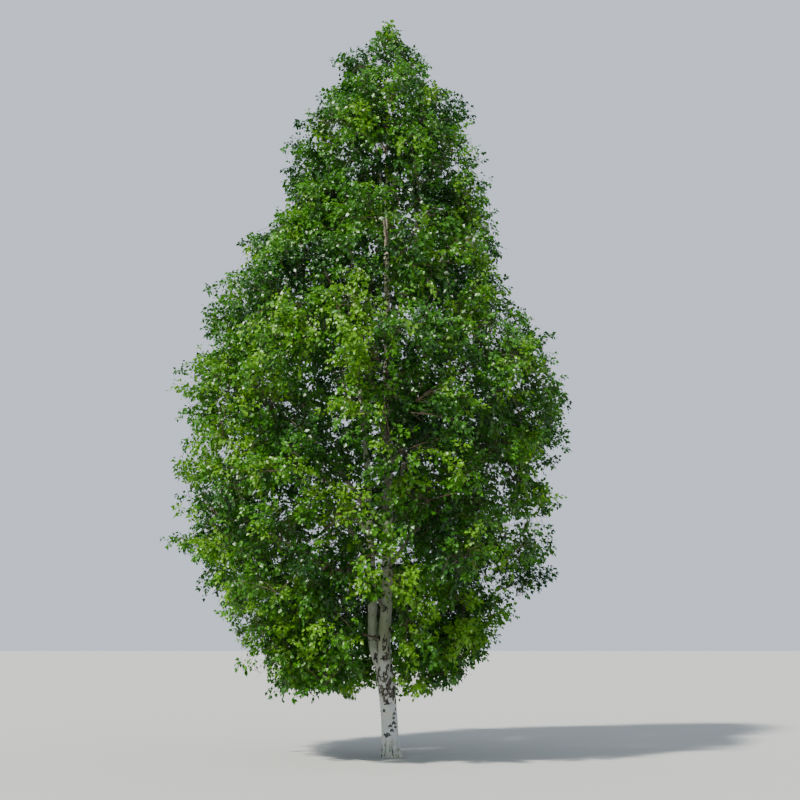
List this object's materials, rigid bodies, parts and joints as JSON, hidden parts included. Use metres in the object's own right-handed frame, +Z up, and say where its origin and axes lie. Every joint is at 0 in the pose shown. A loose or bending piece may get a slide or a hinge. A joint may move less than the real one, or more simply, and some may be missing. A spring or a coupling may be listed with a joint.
{
  "type": "birch tree",
  "caption": "Tall slender birch tree in full leaf: white trunk forked low into a leader and a second stem, with boughs that climb round both to masses of leafy twigs.",
  "frame": {"origin": "middle of the flat cut under the trunk, at ground level", "axes": "+Z up along the trunk, -Y towards the side seen in the picture, +X to the right of that side"},
  "size_m": [6.1003, 6.1465, 11.7973],
  "materials": {
    "stem_bark": "white papery bark with dark lenticels and black fissured patches",
    "bough_bark": "grey-brown young bark, smooth and matte",
    "foliage": "fresh green leaves, slightly glossy on top"
  },
  "bodies": {
    "root": {"trunk": "stem_bark", "second_stem": "stem_bark", "bough_01": "bough_bark", "bough_02": "bough_bark", "bough_03": "bough_bark", "bough_04": "bough_bark", "bough_05": "bough_bark", "bough_06": "bough_bark", "bough_07": "bough_bark", "bough_08": "bough_bark", "bough_09": "bough_bark", "bough_10": "bough_bark", "bough_11": "bough_bark", "bough_12": "bough_bark", "bough_13": "bough_bark", "bough_14": "bough_bark", "bough_15": "bough_bark", "bough_16": "bough_bark", "bough_17": "bough_bark", "bough_18": "bough_bark", "bough_19": "bough_bark", "bough_20": "bough_bark", "bough_21": "bough_bark", "bough_22": "bough_bark", "bough_23": "bough_bark", "bough_24": "bough_bark", "bough_25": "bough_bark", "bough_26": "bough_bark", "bough_27": "bough_bark", "foliage_01": "foliage", "foliage_02": "foliage", "foliage_03": "foliage", "foliage_04": "foliage", "foliage_05": "foliage", "foliage_06": "foliage", "foliage_07": "foliage", "foliage_08": "foliage", "foliage_09": "foliage", "foliage_10": "foliage", "foliage_11": "foliage", "foliage_12": "foliage", "foliage_13": "foliage", "foliage_14": "foliage", "foliage_15": "foliage", "foliage_16": "foliage", "foliage_17": "foliage", "foliage_18": "foliage", "foliage_19": "foliage", "foliage_20": "foliage", "foliage_21": "foliage", "foliage_22": "foliage", "foliage_23": "foliage", "foliage_24": "foliage", "foliage_25": "foliage", "foliage_26": "foliage", "foliage_27": "foliage", "foliage_leader_top": "foliage", "foliage_second_top": "foliage"}
  },
  "joints": []
}
